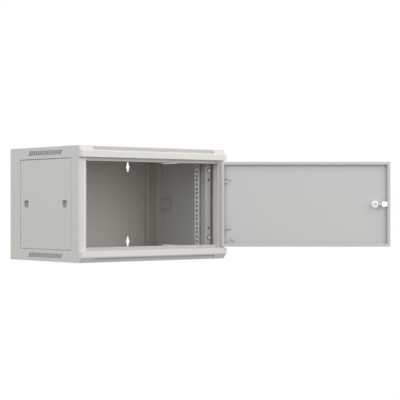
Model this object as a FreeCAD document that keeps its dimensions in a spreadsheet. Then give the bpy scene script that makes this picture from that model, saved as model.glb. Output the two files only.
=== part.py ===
import FreeCAD, Part
import math
import os
import re

import Sketcher

# Six-unit wall mount network cabinet: welded sheet body, chamfered front beams, 19 inch rack rails,
# lift-off side panels with sprung latches, and a solid steel door on sprung hinge pins with a cam lock.
# Frame: the origin is the middle of the wall face, +Z up, +Y into the wall, the door on the -Y side.

os.makedirs("parts", exist_ok=True)
doc = FreeCAD.newDocument("wall_cabinet")

# ---------------------------------------------------------------- driving dimensions, mm and degrees
SIZES = {
    # outer size of the welded body and of the beams in front of it
    "cab_width": 600,
    "cab_height": 370,
    "body_depth": 403,
    "beam_depth": 17,
    # sheet thicknesses
    "panel_sheet": 1.2,
    "post_sheet": 1.5,
    "beam_sheet": 1.5,
    "rail_sheet": 2,
    "door_sheet": 1.2,
    # rear panel with its side wings and the double-ended wall keyholes
    "rear_wing": 26,
    "key_side_inset": 110,
    "key_end_inset": 51.65,
    "key_length": 35,
    "key_slot": 8,
    "key_circle": 15,
    # roof and floor: fan grille and cable entry knock-outs
    "fan_back": 235,
    "fan_bolt_spacing": 105,
    "fan_bolt_hole": 4.4,
    "fan_slots": 9,
    "fan_slot_length": 84,
    "fan_slot_width": 6,
    "fan_slot_pitch": 10.5,
    "entry_width": 250,
    "entry_depth": 60,
    "entry_back": 34,
    "entry_slit": 1.5,
    "entry_bridge": 8,
    # side frames: opening for the side panel, front flange, leaning vent slots
    "side_front_inset": 42,
    "side_rear": 63,
    "side_end_inset": 38,
    "front_flange": 9,
    "vent_slots": 15,
    "vent_pitch": 13,
    "vent_width": 6,
    "vent_height": 15,
    "vent_lean": 11,
    "vent_end_inset": 19,
    # front and rear posts, front headers
    "post_width": 28,
    "post_face": 13,
    "post_return": 22,
    "post_step": 12,
    "rear_post_width": 34,
    "rear_post_depth": 18.8,
    "rear_post_foot": 24,
    "rear_post_face": 27,
    "rear_groove_inset": 12.3,
    "rear_groove": 2,
    "rear_groove_depth": 4,
    "rear_jamb_lip": 16.6,
    "header_height": 48,
    "header_return": 22,
    "header_lip": 10,
    # front beams
    "beam_height": 37,
    "beam_face": 19.5,
    "beam_end_wall": 6,
    "beam_round": 5,
    "recess_level": 23.5,
    "recess_end": 47.5,
    "recess_splay": 5,
    "recess_wall": 2.5,
    # horizontal depth rails
    "depth_rail_inset": 31,
    "depth_rail_height": 29,
    "depth_rail_width": 24,
    "depth_slot_inset": 8,
    "depth_slot_pitch": 40,
    "depth_slot_margin": 60,
    "depth_slot_length": 24,
    "depth_slot_width": 6.6,
    # 19 inch rack rails: at 600 wide they stand 450 apart, with their holes on 465.1
    "rack_unit": 44.45,
    "rack_hole_pitch": 15.875,
    "rack_hole": 9.5,
    "rack_side_inset": 75,
    "rack_hole_inset": 7.55,
    "rack_face": 29,
    "rack_lip": 8,
    "rack_groove": 6,
    "rack_groove_depth": 10,
    "rack_step": 22.7,
    "rack_flange": 21,
    "rack_setback": 64.2,
    "rack_rail_gap": 0.3,
    "rack_screw_inset": 8.4,
    "rack_screw_drop": 40,
    "rack_spare_drop": 72,
    "rack_spare_radius": 4.4,
    # rail brackets and M6 screws
    "bracket_gap": 4.5,
    "bracket_width": 15,
    "bracket_leg": 30,
    "bracket_drop": 56,
    "bolt_setback": 14.5,
    "screw_radius": 3,
    "screw_flats": 10,
    "screw_head_height": 4,
    "screw_length": 9,
    "screw_hole": 3.3,
    # earth studs and nuts
    "stud_radius": 3,
    "stud_length": 16,
    "nut_flats": 10,
    "nut_height": 5,
    "thread_gap": 0.05,
    "earth_side_inset": 70,
    "earth_back": 120,
    # side panels and their latches
    "side_gap": 2,
    "side_return": 12,
    "bead_inset": 18,
    "bead_width": 9,
    "bead_depth": 0.5,
    "dimple_radius": 5,
    "dimple_inset": 21,
    "latch_length": 47,
    "latch_height": 35,
    "latch_depth": 12.2,
    "latch_wall": 1.5,
    "cup_inset": 22,
    "cup_length": 25,
    "cup_height": 24,
    "cup_depth": 7.3,
    "slide_thickness": 2.6,
    "slide_width": 16,
    "slide_gap": 0.3,
    "slide_travel": 6,
    "bolt_reach": 7,
    "bolt_slot_gap": 0.6,
    "tab_thickness": 3,
    "tab_height": 5.6,
    # door
    "door_side_gap": 13,
    "door_end_gap": 4,
    "door_depth": 14,
    "door_gap": 3,
    "door_lip": 10,
    "door_bend": 1,
    "hinge_inset": 4,
    "hinge_setback": 5,
    "door_rest_angle": 140.3,
    # sprung hinge pins and their guides
    "pin_radius": 2,
    "pin_gap": 0.08,
    "pin_guide_gap": 0.1,
    "pin_reach": 5.5,
    "pin_tail_inset": 76,
    "pin_handle_inset": 61,
    "pin_handle_length": 30,
    "guide_inset": 57,
    "guide_height": 15,
    "guide_length": 20,
    "guide_foot_gap": 3,
    "guide_reach": 9.3,
    # cam lock
    "lock_inset": 51.8,
    "barrel_radius": 9.5,
    "barrel_gap": 0.1,
    "barrel_flange": 12.5,
    "barrel_flange_height": 3,
    "lock_nut_flats": 23,
    "lock_nut_height": 5,
    "plug_radius": 6,
    "plug_gap": 0.06,
    "plug_proud": 0.5,
    "plug_square": 8,
    "square_gap": 0.1,
    "key_slot_width": 1.6,
    "key_slot_height": 8,
    "key_slot_depth": 6,
    "cam_clearance": 0.6,
    "cam_thickness": 2.5,
    "cam_base": 9,
    "cam_neck_width": 7,
    "cam_neck_end": 22,
    "cam_reach": 40.5,
    "cam_end_width": 16,
    "cam_screw_flats": 11,
    "cam_screw_height": 4,
    "strike_up": 12,
    "strike_down": 34,
    # door earth stud
    "door_earth_inset": 38.7,
    "door_earth_end_inset": 25.7,
}

sizes = doc.addObject("Spreadsheet::Sheet", "sizes")
for row, (word, amount) in enumerate(SIZES.items(), start=1):
    sizes.set("A%d" % row, word)
    sizes.set("B%d" % row, str(amount))
    sizes.setAlias("B%d" % row, word)
doc.recompute()

WORDS = re.compile(r"\b(" + "|".join(SIZES) + r")\b")


def bound(text):
    """The expression with each size's name pointed at its cell."""
    return WORDS.sub(r"sizes.\1", text)


def number(text):
    """The present value of an expression."""
    amount = sizes.evalExpression(bound(text))
    return float(getattr(amount, "Value", amount))


# places that many pieces share
HALF_WIDTH = "(cab_width / 2)"
HALF_HEIGHT = "(cab_height / 2)"
INNER_X = "(cab_width / 2 - panel_sheet)"
INNER_Z = "(cab_height / 2 - panel_sheet)"
FRONT_Y = "(-body_depth)"
NOSE_Y = "(-body_depth - beam_depth)"
POST_X = "(cab_width / 2 - post_width)"
STEP_X = "(cab_width / 2 - post_width + post_step)"
CLEAR_Z = "(cab_height / 2 - header_height)"
SIDE_OPEN_Z = "(cab_height / 2 - side_end_inset)"
SIDE_FRONT = "(body_depth - side_front_inset)"
BEAM_Z = "(cab_height / 2 - beam_height)"
RACK_Y = "(rack_setback - body_depth)"
FLANGE_Y = "(rack_setback - body_depth - rack_step)"
RACK_X = "(cab_width / 2 - rack_side_inset)"
RACK_OUT_X = "(cab_width / 2 - rack_side_inset + rack_face + rack_flange)"
RACK_SCREW_X = "(cab_width / 2 - rack_side_inset + rack_face + rack_flange - rack_screw_inset)"
DEPTH_X = "(cab_width / 2 - post_width - depth_slot_inset)"
DEPTH_Z = "(cab_height / 2 - depth_rail_inset)"
DOOR_X = "(cab_width / 2 - door_side_gap)"
DOOR_Z = "(cab_height / 2 - beam_height - door_end_gap)"
DOOR_FRONT_Y = "(-body_depth - door_gap - door_depth)"
DOOR_IN_Y = "(-body_depth - door_gap - door_depth + door_sheet)"
HINGE_X = "(cab_width / 2 - door_side_gap - hinge_inset)"
HINGE_Y = "(-body_depth - door_gap - door_depth + hinge_setback)"
LOCK_X = "(lock_inset - cab_width / 2 + door_side_gap)"
CAM_Y = "(-body_depth + post_sheet + cam_clearance)"
PANEL_FRONT = "(body_depth - side_front_inset - side_gap)"
PANEL_REAR = "(side_rear + side_gap)"
PANEL_Z = "(cab_height / 2 - side_end_inset - side_gap)"

kept = []


def keep(piece, label):
    piece.Label = label
    kept.append(piece)
    return piece


def flip(side, text):
    """The expression for the right-hand side, or its mirror for the left."""
    return text if side > 0 else "-(%s)" % text


def span(side, low, high):
    """Two expressions in rising order, mirrored for the left or lower side."""
    return (low, high) if side > 0 else ("-(%s)" % high, "-(%s)" % low)


# ---------------------------------------------------------------- sketches and sketched features
def pin_down(sketch, geometry, end, place):
    """Fixes one end of a sketch line, or an arc's middle, at a place given as two expressions."""
    for kind, text in zip(("DistanceX", "DistanceY"), place):
        index = sketch.addConstraint(Sketcher.Constraint(kind, -1, 1, geometry, end, number(text)))
        sketch.setExpression("Constraints[%d]" % index, bound(text))


def polygon(points):
    """A closed outline through points given as pairs of expressions."""

    def draw(sketch):
        first = sketch.GeometryCount
        spots = [FreeCAD.Vector(number(a), number(b), 0) for a, b in points]
        for i, spot in enumerate(spots):
            sketch.addGeometry(Part.LineSegment(spot, spots[(i + 1) % len(spots)]), False)
        for i, place in enumerate(points):
            following = first + (i + 1) % len(points)
            sketch.addConstraint(Sketcher.Constraint("Coincident", first + i, 2, following, 1))
            pin_down(sketch, first + i, 1, place)

    return draw


def rectangle(low, high):
    return polygon([low, (high[0], low[1]), high, (low[0], high[1])])


def circle(middle, radius):
    def draw(sketch):
        spot = FreeCAD.Vector(number(middle[0]), number(middle[1]), 0)
        ring = sketch.addGeometry(Part.Circle(spot, FreeCAD.Vector(0, 0, 1), number(radius)), False)
        pin_down(sketch, ring, 3, middle)
        index = sketch.addConstraint(Sketcher.Constraint("Radius", ring, number(radius)))
        sketch.setExpression("Constraints[%d]" % index, bound(radius))

    return draw


def round_slot(middle, length, width, along):
    """A slot with round ends, centred on middle; along is 0 for the sketch's X and 1 for its Y."""

    def draw(sketch):
        reach = "(%s - %s) / 2" % (length, width)
        radius = "(%s) / 2" % width
        towards = FreeCAD.Vector(1, 0, 0) if along == 0 else FreeCAD.Vector(0, 1, 0)
        start = math.atan2(towards.y, towards.x)
        ends = []
        for sign, turn in (("+", -math.pi / 2), ("-", math.pi / 2)):
            place = list(middle)
            place[along] = "%s %s %s" % (middle[along], sign, reach)
            spot = FreeCAD.Vector(number(place[0]), number(place[1]), 0)
            full = Part.Circle(spot, FreeCAD.Vector(0, 0, 1), number(radius))
            arc = sketch.addGeometry(Part.ArcOfCircle(full, start + turn, start + turn + math.pi), False)
            pin_down(sketch, arc, 3, place)
            index = sketch.addConstraint(Sketcher.Constraint("Radius", arc, number(radius)))
            sketch.setExpression("Constraints[%d]" % index, bound(radius))
            ends.append(arc)
        for one, other in (ends, reversed(ends)):
            from_spot = sketch.getPoint(one, 2)
            to_spot = sketch.getPoint(other, 1)
            line = sketch.addGeometry(Part.LineSegment(from_spot, to_spot), False)
            sketch.addConstraint(Sketcher.Constraint("Tangent", one, 2, line, 1))
            sketch.addConstraint(Sketcher.Constraint("Tangent", line, 2, other, 1))

    return draw


def origin_feature(body, role):
    return next(f for f in body.Origin.OriginFeatures if f.Role == role)


def new_body(name):
    return doc.addObject("PartDesign::Body", name)


def sketch_on(body, plane, offset, outlines):
    """A sketch on XY (facing +Z), XZ (facing -Y) or YZ (facing +X), moved out by offset."""
    sketch = body.newObject("Sketcher::SketchObject", body.Name + "_outline")
    sketch.AttachmentSupport = [(origin_feature(body, plane + "_Plane"), "")]
    sketch.MapMode = "FlatFace"
    sketch.setExpression("AttachmentOffset.Base.z", bound(offset))
    for draw in outlines:
        draw(sketch)
    return sketch


def pad(body, plane, offset, length, *outlines):
    """Adds material from the sketch plane onwards, the way the plane faces."""
    feature = body.newObject("PartDesign::Pad", body.Name + "_pad")
    feature.Profile = sketch_on(body, plane, offset, outlines)
    feature.setExpression("Length", bound(length))
    doc.recompute()
    return feature


def pocket(body, plane, offset, length, *outlines):
    """Takes material away from the sketch plane onwards, the way the plane faces."""
    before = body.Shape.Volume
    feature = body.newObject("PartDesign::Pocket", body.Name + "_pocket")
    feature.Profile = sketch_on(body, plane, offset, outlines)
    feature.setExpression("Length", bound(length))
    feature.Reversed = True
    doc.recompute()
    if not body.Shape.Volume < before:
        raise RuntimeError("a pocket of %s cuts nothing" % body.Name)
    return feature


def repeat(body, feature, axis, pitch, count):
    """Repeats a feature along an axis of its body."""
    pattern = body.newObject("PartDesign::LinearPattern", body.Name + "_pattern")
    pattern.Originals = [feature]
    pattern.Direction = (origin_feature(body, axis + "_Axis"), [""])
    pattern.setExpression("Length", bound("%s * (%s - 1)" % (pitch, count)))
    pattern.setExpression("Occurrences", bound(count))
    body.Tip = pattern
    doc.recompute()
    return pattern


def round_edges(body, radius, wanted):
    """Rounds the edges of the body for which wanted(edge) is true."""
    names = ["Edge%d" % (i + 1) for i, edge in enumerate(body.Shape.Edges) if wanted(edge)]
    if not names:
        raise RuntimeError("no edge of %s to round" % body.Name)
    base = body.Tip
    feature = body.newObject("PartDesign::Fillet", body.Name + "_fillet")
    feature.Base = (base, names)
    feature.setExpression("Radius", bound(radius))
    body.Tip = feature
    doc.recompute()
    return feature


# ---------------------------------------------------------------- primitives and booleans
def at(piece, place):
    for letter, text in zip("xyz", place):
        piece.setExpression("Placement.Base." + letter, bound(text))
    return piece


def block(low, high):
    box = doc.addObject("Part::Box", "block")
    for name, a, b in zip(("Length", "Width", "Height"), low, high):
        box.setExpression(name, bound("(%s) - (%s)" % (b, a)))
    return at(box, low)


TURNS = {"+Z": (0, 0, 1), "-Z": (0, 0, -1), "+Y": (0, 1, 0), "-Y": (0, -1, 0), "+X": (1, 0, 0), "-X": (-1, 0, 0)}


def rod(foot, towards, radius, length):
    """A cylinder from foot, pointing towards one of the axes."""
    cylinder = doc.addObject("Part::Cylinder", "rod")
    cylinder.setExpression("Radius", bound(radius))
    cylinder.setExpression("Height", bound(length))
    cylinder.Placement.Rotation = FreeCAD.Rotation(FreeCAD.Vector(0, 0, 1), FreeCAD.Vector(*TURNS[towards]))
    return at(cylinder, foot)


def hexagon(foot, towards, flats, length):
    """A six-sided prism given across its flats."""
    prism = doc.addObject("Part::Prism", "hexagon")
    prism.Polygon = 6
    prism.setExpression("Circumradius", bound("(%s) / sqrt(3)" % flats))
    prism.setExpression("Height", bound(length))
    prism.Placement.Rotation = FreeCAD.Rotation(FreeCAD.Vector(0, 0, 1), FreeCAD.Vector(*TURNS[towards]))
    return at(prism, foot)


def joined(pieces):
    whole = doc.addObject("Part::MultiFuse", "joined")
    whole.Shapes = pieces
    doc.recompute()
    return whole


def without(base, tools):
    result = doc.addObject("Part::Cut", "without")
    result.Base = base
    result.Tool = tools[0] if len(tools) == 1 else joined(tools)
    doc.recompute()
    return result


def group(pieces):
    """Solids kept together as one node: fasteners that are all alike, or one that is turned with the door."""
    together = doc.addObject("Part::Compound", "group")
    together.Links = pieces
    doc.recompute()
    return together


def screw(seat, towards, radius, length, flats, head_height):
    """A hexagon-head screw: its shank runs from the seat towards the axis, its head stands behind."""
    behind = ["%s - (%d) * (%s)" % (place, step, head_height) for place, step in zip(seat, TURNS[towards])]
    return joined([rod(seat, towards, radius, length), hexagon(behind, towards, flats, head_height)])


def nut(seat, towards, flats, height, bore):
    return without(hexagon(seat, towards, flats, height), [rod(seat, towards, bore, height)])


# ---------------------------------------------------------------- rear panel, roof and floor
def rear_panel():
    """Sheet against the wall, with forward wings at its sides and four double-ended keyholes."""
    body = new_body("rear_panel")
    pad(body, "XZ", "0", "panel_sheet",
        rectangle(("-" + HALF_WIDTH, "-" + HALF_HEIGHT), (HALF_WIDTH, HALF_HEIGHT)))
    wings = [rectangle(*zip(span(side, INNER_X, HALF_WIDTH), ("-" + HALF_HEIGHT, HALF_HEIGHT)))
             for side in (1, -1)]
    pad(body, "XZ", "panel_sheet", "rear_wing - panel_sheet", *wings)
    places = [(flip(side, HALF_WIDTH + " - key_side_inset"), flip(level, HALF_HEIGHT + " - key_end_inset"))
              for side in (1, -1) for level in (1, -1)]
    pocket(body, "XZ", "0", "panel_sheet", *[round_slot(p, "key_length", "key_slot", 1) for p in places])
    pocket(body, "XZ", "0", "panel_sheet", *[circle(p, "key_circle / 2") for p in places])
    return body


ENTRY_MIDDLE_Y = "(-entry_back - entry_depth / 2)"


def entry_slits():
    """Four slits that part the cable entry's plate from the sheet, all but a bridge on each side."""
    slits = []
    for across in (1, -1):
        for back in (1, -1):
            def place(x, y):
                return flip(across, x), "%s + %s" % (ENTRY_MIDDLE_Y, flip(back, y))

            outer_x, outer_y = "(entry_width / 2)", "(entry_depth / 2)"
            inner_x, inner_y = "(%s - entry_slit)" % outer_x, "(%s - entry_slit)" % outer_y
            slits.append(polygon([
                place("(entry_bridge / 2)", outer_y),
                place(outer_x, outer_y),
                place(outer_x, "(entry_bridge / 2)"),
                place(inner_x, "(entry_bridge / 2)"),
                place(inner_x, inner_y),
                place("(entry_bridge / 2)", inner_y),
            ]))
    return slits


def roof_or_floor(name, level):
    """Flat sheet between the side frames, with a cable entry left as a knock-out plate."""
    body = new_body(name)
    low_z, high_z = span(level, INNER_Z, HALF_HEIGHT)
    pad(body, "XY", low_z, "panel_sheet",
        rectangle(("-" + INNER_X, FRONT_Y), (INNER_X, "-panel_sheet")))
    pocket(body, "XY", low_z, "panel_sheet", *entry_slits())
    return body


def roof_panel():
    """The roof also carries a punched fan grille with its four fan screw holes."""
    body = roof_or_floor("roof_panel", 1)
    first = "-fan_back - fan_slot_pitch * (fan_slots - 1) / 2"
    slots = pocket(body, "XY", INNER_Z, "panel_sheet",
                   rectangle(("-fan_slot_length / 2", first + " - fan_slot_width / 2"),
                             ("fan_slot_length / 2", first + " + fan_slot_width / 2")))
    repeat(body, slots, "Y", "fan_slot_pitch", "fan_slots")
    holes = [("fan_bolt_spacing / 2 * (%d)" % across, "-fan_back + fan_bolt_spacing / 2 * (%d)" % back)
             for across in (1, -1) for back in (1, -1)]
    pocket(body, "XY", INNER_Z, "panel_sheet", *[circle(p, "fan_bolt_hole / 2") for p in holes])
    return body


# ---------------------------------------------------------------- side frames, posts and headers
def side_frame(name, side):
    """Cheek of the body round the side panel's opening, with leaning vent slots above and below."""
    body = new_body(name)
    low_x, high_x = span(side, INNER_X, HALF_WIDTH)
    pad(body, "YZ", low_x, "panel_sheet",
        rectangle((FRONT_Y, "-" + HALF_HEIGHT), ("-rear_wing", HALF_HEIGHT)),
        rectangle(("-" + SIDE_FRONT, "-" + SIDE_OPEN_Z), ("-side_rear", SIDE_OPEN_Z)))
    low_x, high_x = span(side, HALF_WIDTH + " - front_flange", INNER_X)
    pad(body, "YZ", low_x, "front_flange - panel_sheet",
        rectangle((FRONT_Y, "-" + INNER_Z), (FRONT_Y + " + panel_sheet", INNER_Z)))
    low_x, high_x = span(side, INNER_X, HALF_WIDTH)
    back = "(-(" + SIDE_FRONT + " + side_rear) / 2 - vent_pitch * (vent_slots - 1) / 2 + %s)"
    slots = []
    for level in (HALF_HEIGHT + " - vent_end_inset", "-" + HALF_HEIGHT + " + vent_end_inset"):
        low_z = level + " - vent_height / 2"
        high_z = level + " + vent_height / 2"
        slots.append(polygon([
            (back % "vent_lean / 2 - vent_width / 2", low_z),
            (back % "vent_lean / 2 + vent_width / 2", low_z),
            (back % "vent_width / 2 - vent_lean / 2", high_z),
            (back % "-vent_width / 2 - vent_lean / 2", high_z),
        ]))
    vents = pocket(body, "YZ", low_x, "panel_sheet", *slots)
    repeat(body, vents, "Y", "vent_pitch", "vent_slots")
    return body


def bolt_window(side):
    """Where a latch bolt passes through a jamb, in the XZ plane, with its running gap."""
    outer = "(%s - cup_depth - bolt_slot_gap)" % INNER_X
    inner = "(%s - slide_thickness - 2 * slide_gap - bolt_slot_gap)" % outer
    low, high = span(side, inner, outer + " + 2 * bolt_slot_gap")
    return rectangle((low, "-slide_width / 2 - bolt_slot_gap"), (high, "slide_width / 2 + bolt_slot_gap"))


def front_post(name, side, strike):
    """Folded upright: grooved face beside the side frame's flange, stepped return, jamb of the side
    opening. The post on the lock side has the slot that the cam turns into."""
    body = new_body(name)
    wall = "post_sheet"
    joint = POST_X + " + post_face"
    deep = FRONT_Y + " + post_return"
    path = [
        (INNER_X, FRONT_Y + " + panel_sheet"),
        (joint, FRONT_Y + " + panel_sheet"),
        (joint, FRONT_Y),
        (POST_X, FRONT_Y),
        (POST_X, deep),
        (STEP_X, deep),
        (STEP_X, "-" + SIDE_FRONT),
        (INNER_X, "-" + SIDE_FRONT),
        (INNER_X, "-%s - %s" % (SIDE_FRONT, wall)),
        (STEP_X + " + " + wall, "-%s - %s" % (SIDE_FRONT, wall)),
        (STEP_X + " + " + wall, deep + " - " + wall),
        (POST_X + " + " + wall, deep + " - " + wall),
        (POST_X + " + " + wall, FRONT_Y + " + " + wall),
        (joint + " - " + wall, FRONT_Y + " + " + wall),
        (joint + " - " + wall, FRONT_Y + " + panel_sheet + " + wall),
        (INNER_X, FRONT_Y + " + panel_sheet + " + wall),
    ]
    pad(body, "XY", "-" + INNER_Z, "2 * " + INNER_Z, polygon([(flip(side, x), y) for x, y in path]))
    pocket(body, "XZ", SIDE_FRONT, wall, bolt_window(side))
    if strike:
        low_x, high_x = span(side, POST_X, POST_X + " + " + wall)
        pocket(body, "YZ", low_x, wall,
               rectangle((FRONT_Y + " + " + wall, "-strike_down"),
                         (CAM_Y + " + cam_thickness + cam_clearance", "strike_up")))
    return body


def rear_post(name, side):
    """Folded upright in the rear corner: foot on the rear panel, grooved face, deep fold, then the lip
    and the rear jamb of the side opening."""
    body = new_body(name)
    wall = "post_sheet"
    near = HALF_WIDTH + " - rear_post_width"
    far = near + " + rear_post_face"
    face = "-rear_post_depth"
    groove = near + " + rear_groove_inset"
    lip = "-side_rear + rear_jamb_lip"
    path = [
        (near + " + rear_post_foot", "-panel_sheet"),
        (near, "-panel_sheet"),
        (near, face),
        (groove, face),
        (groove, face + " + rear_groove_depth"),
        (groove + " + rear_groove", face + " + rear_groove_depth"),
        (groove + " + rear_groove", face),
        (far, face),
        (far, lip),
        (STEP_X, lip),
        (STEP_X, "-side_rear"),
        (INNER_X, "-side_rear"),
        (INNER_X, "-side_rear + " + wall),
        (STEP_X + " + " + wall, "-side_rear + " + wall),
        (STEP_X + " + " + wall, lip + " - " + wall),
        (far + " + " + wall, lip + " - " + wall),
        (far + " + " + wall, face + " + " + wall),
        (groove + " + rear_groove + " + wall, face + " + " + wall),
        (groove + " + rear_groove + " + wall, face + " + rear_groove_depth + " + wall),
        (groove + " - " + wall, face + " + rear_groove_depth + " + wall),
        (groove + " - " + wall, face + " + " + wall),
        (near + " + " + wall, face + " + " + wall),
        (near + " + " + wall, "-panel_sheet - " + wall),
        (near + " + rear_post_foot", "-panel_sheet - " + wall),
    ]
    pad(body, "XY", "-" + INNER_Z, "2 * " + INNER_Z, polygon([(flip(side, x), y) for x, y in path]))
    pocket(body, "XZ", "side_rear - post_sheet", wall, bolt_window(side))
    return body


def front_header(name, level):
    """Folded bar between the posts, above or below the front opening."""
    body = new_body(name)
    wall = "post_sheet"
    deep = FRONT_Y + " + header_return"
    path = [
        (FRONT_Y, CLEAR_Z),
        (FRONT_Y, INNER_Z),
        (FRONT_Y + " + " + wall, INNER_Z),
        (FRONT_Y + " + " + wall, CLEAR_Z + " + " + wall),
        (deep + " - " + wall, CLEAR_Z + " + " + wall),
        (deep + " - " + wall, CLEAR_Z + " + header_lip"),
        (deep, CLEAR_Z + " + header_lip"),
        (deep, CLEAR_Z),
    ]
    pad(body, "YZ", "-" + POST_X, "2 * " + POST_X, polygon([(y, flip(level, z)) for y, z in path]))
    return body


# ---------------------------------------------------------------- front beams
def front_beam(name, level):
    """Cover beam across the whole front: upright face, sloping outer side with a long recess whose ends
    splay, open at the back, and a hole that takes the door's hinge pin."""
    body = new_body(name)
    face_z = BEAM_Z + " + beam_face"

    def section(points):
        return polygon([(y, flip(level, z)) for y, z in points])

    pad(body, "YZ", "-" + HALF_WIDTH, "cab_width",
        section([(NOSE_Y, BEAM_Z), (NOSE_Y, face_z), (FRONT_Y, HALF_HEIGHT), (FRONT_Y, BEAM_Z)]))
    half = number(HALF_WIDTH) - 0.01
    nose = number(FRONT_Y) - 0.01

    def end_corner(edge):
        box = edge.BoundBox
        at_end = box.XMin > half or box.XMax < -half
        return at_end and box.YMin < nose and box.ZLength > 1

    round_edges(body, "beam_round", end_corner)
    floor_z = BEAM_Z + " + recess_level"
    recess_x = "(cab_width / 2 - recess_end)"
    recess = [("-%s + recess_splay" % recess_x, floor_z), (recess_x + " - recess_splay", floor_z),
              (recess_x, HALF_HEIGHT), ("-" + recess_x, HALF_HEIGHT)]
    pocket(body, "XZ", "body_depth + recess_wall", "beam_depth - recess_wall",
           polygon([(x, flip(level, z)) for x, z in recess]))
    lining = "beam_sheet"
    slope_in = "beam_sheet * 1.5"
    for low, high in (("-%s + beam_end_wall" % HALF_WIDTH, "-%s - beam_sheet" % recess_x),
                      (recess_x + " + beam_sheet", "%s - beam_end_wall" % HALF_WIDTH)):
        pocket(body, "YZ", low, "(%s) - (%s)" % (high, low),
               section([(NOSE_Y + " + " + lining, BEAM_Z + " + " + lining),
                        (NOSE_Y + " + " + lining, face_z + " - " + lining),
                        (FRONT_Y, HALF_HEIGHT + " - " + slope_in + " - " + lining),
                        (FRONT_Y, BEAM_Z + " + " + lining)]))
    pocket(body, "YZ", "-%s - beam_sheet" % recess_x, "2 * (%s + beam_sheet)" % recess_x,
           section([(NOSE_Y + " + " + lining, BEAM_Z + " + " + lining),
                    (NOSE_Y + " + " + lining, face_z + " - " + lining),
                    (FRONT_Y, face_z + " - " + lining),
                    (FRONT_Y, BEAM_Z + " + " + lining)]))
    low_z, high_z = span(level, BEAM_Z, BEAM_Z + " + beam_sheet")
    pocket(body, "XY", low_z, "beam_sheet", circle((HINGE_X, HINGE_Y), "pin_radius + pin_gap"))
    return body


# ---------------------------------------------------------------- depth rails, rack rails, brackets
BRACKET_Y = "(rack_setback - body_depth - rack_step + rail_sheet)"
BOLT_Y = "(rack_setback - body_depth - rack_step + rail_sheet + bolt_setback)"
RAIL_SCREW_Z = "(cab_height / 2 - depth_rail_inset - rack_screw_drop)"


def depth_rail(name, side, level):
    """Channel from the front header to the rear post, with the slots that set the rack rail's depth."""
    body = new_body(name)
    inner = POST_X + " - depth_rail_width"
    wall = "post_sheet"
    low = DEPTH_Z
    high = DEPTH_Z + " + depth_rail_height"
    path = [
        (POST_X, low),
        (inner, low),
        (inner, low + " + " + wall),
        (POST_X + " - " + wall, low + " + " + wall),
        (POST_X + " - " + wall, high + " - " + wall),
        (inner, high + " - " + wall),
        (inner, high),
        (POST_X, high),
    ]
    pad(body, "XZ", "rear_post_depth", "body_depth - rear_post_depth - post_sheet",
        polygon([(flip(side, x), flip(level, z)) for x, z in path]))
    low_z, high_z = span(level, low, low + " + " + wall)
    last = BOLT_Y + " - depth_slot_pitch"
    low_x, high_x = span(side, DEPTH_X + " - depth_slot_width / 2", DEPTH_X + " + depth_slot_width / 2")
    slot = pocket(body, "XY", low_z, wall,
                  rectangle((low_x, last + " - depth_slot_length / 2"),
                            (high_x, last + " + depth_slot_length / 2")))
    repeat(body, slot, "Y", "depth_slot_pitch",
           "floor((body_depth - depth_slot_margin) / depth_slot_pitch) + 1")
    return body


RACK_TOP_Z = "(cab_height / 2 - depth_rail_inset - rail_sheet - rack_rail_gap)"
RACK_UNITS = "floor(2 * %s / rack_unit)" % CLEAR_Z


def rack_rail(name, side):
    """Rolled 19 inch rail: square-hole face with a short rear lip, a groove, then a step forward to the
    mounting flange."""
    body = new_body(name)
    wall = "rail_sheet"
    step = RACK_X + " + rack_face"
    fold = step + " - rail_sheet - rack_groove"
    groove_y = RACK_Y + " + rack_groove_depth"
    path = [
        (RACK_X, RACK_Y + " + rack_lip"),
        (RACK_X, RACK_Y),
        (fold, RACK_Y),
        (fold, groove_y),
        (step + " - " + wall, groove_y),
        (step + " - " + wall, FLANGE_Y),
        (RACK_OUT_X, FLANGE_Y),
        (RACK_OUT_X, FLANGE_Y + " + " + wall),
        (step, FLANGE_Y + " + " + wall),
        (step, groove_y + " + " + wall),
        (fold + " - " + wall, groove_y + " + " + wall),
        (fold + " - " + wall, RACK_Y + " + " + wall),
        (RACK_X + " + " + wall, RACK_Y + " + " + wall),
        (RACK_X + " + " + wall, RACK_Y + " + rack_lip"),
    ]
    pad(body, "XY", "-" + RACK_TOP_Z, "2 * " + RACK_TOP_Z, polygon([(flip(side, x), y) for x, y in path]))
    column = flip(side, RACK_X + " + rack_hole_inset")
    lowest = "-rack_unit * (%s - 1) / 2" % RACK_UNITS
    holes = []
    for step_up in ("- rack_hole_pitch", "", "+ rack_hole_pitch"):
        middle = "%s %s" % (lowest, step_up)
        holes.append(rectangle((column + " - rack_hole / 2", middle + " - rack_hole / 2"),
                               (column + " + rack_hole / 2", middle + " + rack_hole / 2")))
    unit = pocket(body, "XZ", "-%s - %s" % (RACK_Y, wall), wall, *holes)
    repeat(body, unit, "Z", "rack_unit", RACK_UNITS)
    low_x, high_x = span(side, RACK_SCREW_X + " - screw_hole", RACK_SCREW_X + " + screw_hole")
    taken = [rectangle((low_x, middle + " - screw_hole"), (high_x, middle + " + screw_hole"))
             for middle in (RAIL_SCREW_Z, "-" + RAIL_SCREW_Z)]
    spare = [circle((flip(side, RACK_SCREW_X), flip(level, DEPTH_Z + " - rack_spare_drop")),
                    "rack_spare_radius")
             for level in (1, -1)]
    pocket(body, "XZ", "-%s - %s" % (FLANGE_Y, wall), wall, *(taken + spare))
    return body


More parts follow.
